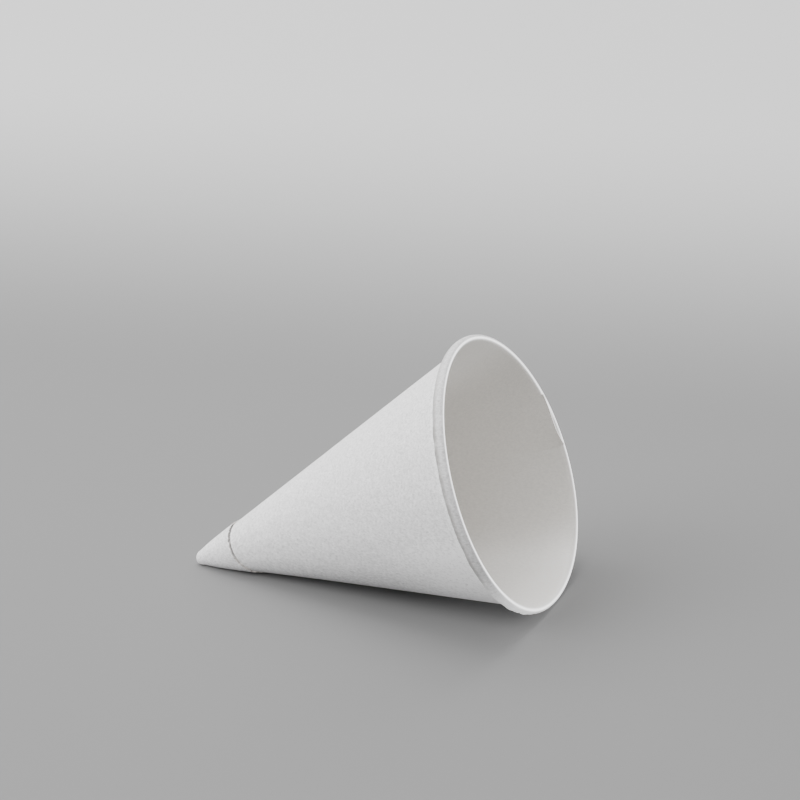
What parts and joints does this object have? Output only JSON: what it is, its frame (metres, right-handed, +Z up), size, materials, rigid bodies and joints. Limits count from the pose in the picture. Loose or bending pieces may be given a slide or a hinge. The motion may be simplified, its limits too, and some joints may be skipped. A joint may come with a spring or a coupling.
{
  "type": "waxed paper cone cup",
  "caption": "Cone-shaped waxed paper cup wound from one sheet, with a blunt closed tip and a rim rolled outwards into a bead, lying on its side.",
  "frame": {"origin": "on the surface that the cup lies on, under the middle of its bounding box", "axes": "+X level, from the tip towards the mouth; +Z up; the cup's own axis rises about 20 degrees from +X in the XZ plane"},
  "size_m": [0.0932, 0.073, 0.0628],
  "materials": {
    "waxed_paper": "white paper with a thin wax coat, soft sheen, faint fibre mottling"
  },
  "bodies": {
    "root": {"paper_cone": "waxed_paper"}
  },
  "joints": []
}
